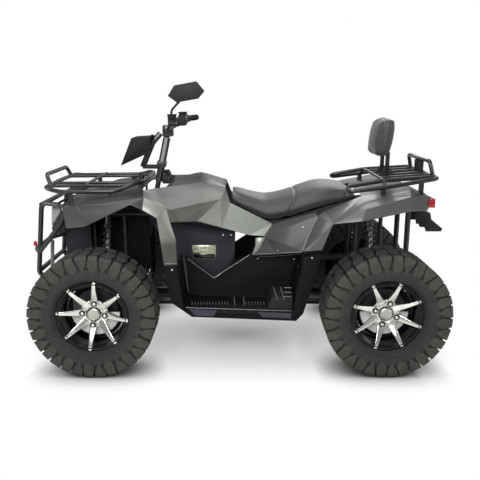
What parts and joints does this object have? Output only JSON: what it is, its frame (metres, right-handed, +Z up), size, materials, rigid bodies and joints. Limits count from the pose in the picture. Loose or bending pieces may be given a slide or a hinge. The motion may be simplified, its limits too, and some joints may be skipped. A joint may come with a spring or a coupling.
{
  "type": "utility quad bike",
  "caption": "Two-seat utility quad bike with faceted body panels, tube racks, mud tyres on spoked rims, steerable front wheels and a backrest.",
  "frame": {"origin": "on the ground, under the middle of the bike", "axes": "+X forward, +Y to the rider's left, +Z up"},
  "size_m": [2.2393, 1.155, 1.4278],
  "materials": {
    "tyre": "matt tread rubber",
    "rim_alloy": "machined spokes, black barrel",
    "brake_steel": "ground disc",
    "frame_black": "satin black",
    "tube_black": "gloss black",
    "fender_grey": "metallic charcoal",
    "rear_fender_grey": "metallic grey",
    "cowl_silver": "metallic silver grey",
    "flare_grey": "metallic warm grey",
    "panel_dark": "grained dark plastic",
    "side_panel_grey": "metallic dark grey",
    "tank_grey": "dark grey",
    "seat_vinyl": "black vinyl",
    "engine_cast": "cast metal",
    "damper_steel": "black spring",
    "lamp_clear": "clear lens",
    "lamp_red": "red lens",
    "grip_rubber": "grip rubber",
    "control_black": "black plastic",
    "arm_steel": "satin black"
  },
  "bodies": {
    "chassis": {"backrest_frame": "tube_black", "backrest_pad": "seat_vinyl", "engine": "engine_cast", "flares": "flare_grey", "footwells": "panel_dark", "frame_crosses": "frame_black", "frame_lower_rails": "frame_black", "frame_posts": "frame_black", "frame_stays": "frame_black", "frame_upper_rails": "frame_black", "front_arms": "arm_steel", "front_bumper": "tube_black", "front_fascia": "panel_dark", "front_fender": "fender_grey", "front_liners": "panel_dark", "front_rack": "tube_black", "front_shocks": "damper_steel", "harness_boot": "control_black", "headlamps": "lamp_clear", "inner_covers": "panel_dark", "plate_bracket": "control_black", "rack_lamp": "control_black", "radiator": "engine_cast", "rear_arms": "arm_steel", "rear_fender": "rear_fender_grey", "rear_gearbox": "engine_cast", "rear_rack": "tube_black", "rear_shocks": "damper_steel", "seat": "seat_vinyl", "seat_tray": "panel_dark", "side_cowls": "cowl_silver", "side_panels": "side_panel_grey", "silencer": "damper_steel", "skid_plate": "frame_black", "tail_lamps": "lamp_red", "tail_panel": "panel_dark", "tank_cover": "tank_grey"},
    "steering": {"steering_column": "frame_black", "handlebar": "tube_black", "grips": "grip_rubber", "switch_housings": "control_black", "instrument_pod": "control_black", "mirror": "control_black"},
    "knuckle_left": {"knuckle_left": "arm_steel"},
    "knuckle_right": {"knuckle_right": "arm_steel"},
    "tie_rod_left": {"tie_rod_left": "arm_steel"},
    "tie_rod_right": {"tie_rod_right": "arm_steel"},
    "wheel_front_left": {"tyre_front_left": "tyre", "rim_front_left": "rim_alloy", "hub_front_left": "brake_steel"},
    "wheel_front_right": {"tyre_front_right": "tyre", "rim_front_right": "rim_alloy", "hub_front_right": "brake_steel"},
    "wheel_rear_left": {"tyre_rear_left": "tyre", "rim_rear_left": "rim_alloy", "hub_rear_left": "brake_steel"},
    "wheel_rear_right": {"tyre_rear_right": "tyre", "rim_rear_right": "rim_alloy", "hub_rear_right": "brake_steel"}
  },
  "joints": [
    {"name": "steering", "type": "hinge", "parent": "chassis", "child": "steering", "pos_m": [0.461, 0, 0.851], "axis": [-0.2156, 0, 0.9765], "range_deg": [-38, 38]},
    {"name": "knuckle_left", "type": "hinge", "parent": "chassis", "child": "knuckle_left", "pos_m": [0.72, 0.4, 0.311], "axis": [0, 0, 1], "range_deg": [-30, 30]},
    {"name": "knuckle_right", "type": "hinge", "parent": "chassis", "child": "knuckle_right", "pos_m": [0.72, -0.4, 0.311], "axis": [0, 0, 1], "range_deg": [-30, 30]},
    {"name": "tie_rod_left", "type": "hinge", "parent": "steering", "child": "tie_rod_left", "pos_m": [0.52389, 0.03, 0.33422], "axis": [-0.2156, 0, 0.9765], "range_deg": [-42, 42]},
    {"name": "tie_rod_right", "type": "hinge", "parent": "steering", "child": "tie_rod_right", "pos_m": [0.52389, -0.03, 0.33422], "axis": [-0.2156, 0, 0.9765], "range_deg": [-42, 42]},
    {"name": "wheel_front_left", "type": "hinge", "parent": "knuckle_left", "child": "wheel_front_left", "pos_m": [0.72, 0.476, 0.311], "axis": [0, 1, 0], "continuous": true},
    {"name": "wheel_front_right", "type": "hinge", "parent": "knuckle_right", "child": "wheel_front_right", "pos_m": [0.72, -0.476, 0.311], "axis": [0, 1, 0], "continuous": true},
    {"name": "wheel_rear_left", "type": "hinge", "parent": "chassis", "child": "wheel_rear_left", "pos_m": [-0.72, 0.4505, 0.311], "axis": [0, 1, 0], "continuous": true},
    {"name": "wheel_rear_right", "type": "hinge", "parent": "chassis", "child": "wheel_rear_right", "pos_m": [-0.72, -0.4505, 0.311], "axis": [0, 1, 0], "continuous": true}
  ],
  "couplings": [
    {"joint": "knuckle_left", "follows": "steering", "ratio": 0.78},
    {"joint": "knuckle_right", "follows": "steering", "ratio": 0.78},
    {"joint": "tie_rod_left", "follows": "steering", "ratio": -1.08},
    {"joint": "tie_rod_right", "follows": "steering", "ratio": -1.08}
  ]
}
